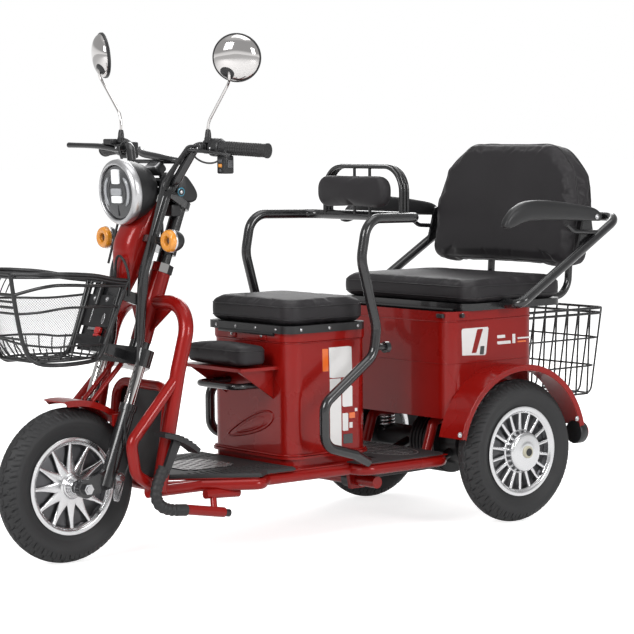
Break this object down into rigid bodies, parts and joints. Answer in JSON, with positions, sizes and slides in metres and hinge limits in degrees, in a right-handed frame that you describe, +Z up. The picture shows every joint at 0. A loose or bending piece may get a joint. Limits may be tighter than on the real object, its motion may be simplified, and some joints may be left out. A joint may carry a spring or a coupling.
{
  "type": "electric passenger tricycle",
  "caption": "Electric passenger tricycle with a steered front wheel, driver and child seats, a rear bench over a storage box, and wire baskets at both ends.",
  "frame": {"origin": "on the floor, in the middle of the overall length and width", "axes": "+Z up, the front of the tricycle towards -Y, its left side towards +X"},
  "size_m": [0.68, 1.806, 1.2346],
  "materials": {
    "red_paint": "gloss",
    "black_paint": "satin",
    "black_wire": "satin",
    "chrome": "polished",
    "cast_alloy": "satin",
    "bright_steel": "satin",
    "tyre_rubber": "matte",
    "mat_rubber": "matte",
    "black_rubber": "matte",
    "black_plastic": "satin",
    "red_plastic": "gloss",
    "lamp_glass": "gloss",
    "amber_plastic": "gloss",
    "seat_leather": "satin",
    "cable_black": "satin",
    "battery_case": "matte"
  },
  "bodies": {
    "frame": {"main_frame": "red_paint", "floor_pans": "red_paint", "splash_plate": "black_paint", "front_mat": "mat_rubber", "rear_mat": "mat_rubber", "front_seat_box": "red_paint", "child_seat": "seat_leather", "rear_box": "red_paint", "battery": "battery_case", "seat_tubes": "black_paint", "small_backrest": "seat_leather", "brake_pedal": "black_paint", "pedal_boot": "black_rubber", "rear_fenders": "red_paint", "tail_lamps": "lamp_glass", "rear_basket": "black_wire", "rear_axle": "black_paint", "shocks": "black_paint"},
    "steering": {"fork_legs": "black_paint", "fork_chrome": "chrome", "front_axle": "bright_steel", "front_brake": "bright_steel", "headlight": "black_plastic", "steering_column": "black_paint", "fork_clamp": "black_paint", "turn_signals": "amber_plastic", "front_panel": "red_plastic", "front_mudguard": "red_paint", "handlebar": "black_paint", "grips": "black_rubber", "controls": "black_plastic", "mirrors": "chrome", "brake_cable": "cable_black", "front_basket": "black_wire"},
    "front_wheel": {"front_tyre": "tyre_rubber", "front_rim": "cast_alloy"},
    "rear_left_wheel": {"rear_left_tyre": "tyre_rubber", "rear_left_rim": "cast_alloy"},
    "rear_right_wheel": {"rear_right_tyre": "tyre_rubber", "rear_right_rim": "cast_alloy"},
    "driver_seat": {"driver_seat_pan": "black_paint", "driver_cushion": "seat_leather"},
    "rear_seat": {"rear_seat_frame": "black_paint", "rear_cushion": "seat_leather", "rear_backrest": "seat_leather"},
    "left_armrest": {"left_armrest_pad": "black_plastic"},
    "right_armrest": {"right_armrest_pad": "black_plastic"}
  },
  "joints": [
    {"name": "steering_turn", "type": "hinge", "parent": "frame", "child": "steering", "pos_m": [0, -0.694, 0], "axis": [0, 0.3502, 0.9367], "range_deg": [-30, 30]},
    {"name": "front_wheel_spin", "type": "hinge", "parent": "steering", "child": "front_wheel", "pos_m": [0, -0.724, 0.183], "axis": [1, 0, 0], "continuous": true},
    {"name": "rear_left_wheel_spin", "type": "hinge", "parent": "frame", "child": "rear_left_wheel", "pos_m": [0.284, 0.456, 0.183], "axis": [1, 0, 0], "continuous": true},
    {"name": "rear_right_wheel_spin", "type": "hinge", "parent": "frame", "child": "rear_right_wheel", "pos_m": [-0.284, 0.456, 0.183], "axis": [1, 0, 0], "continuous": true},
    {"name": "driver_seat_lid", "type": "hinge", "parent": "frame", "child": "driver_seat", "pos_m": [0, -0.1874, 0.51], "axis": [1, 0, 0], "range_deg": [0, 75]},
    {"name": "rear_seat_lid", "type": "hinge", "parent": "frame", "child": "rear_seat", "pos_m": [0, 0.326, 0.5444], "axis": [1, 0, 0], "range_deg": [0, 55]},
    {"name": "left_armrest_flip", "type": "hinge", "parent": "rear_seat", "child": "left_armrest", "pos_m": [0.3, 0.714, 0.774], "axis": [-1, 0, 0], "range_deg": [0, 85]},
    {"name": "right_armrest_flip", "type": "hinge", "parent": "rear_seat", "child": "right_armrest", "pos_m": [-0.3, 0.714, 0.774], "axis": [-1, 0, 0], "range_deg": [0, 85]}
  ]
}
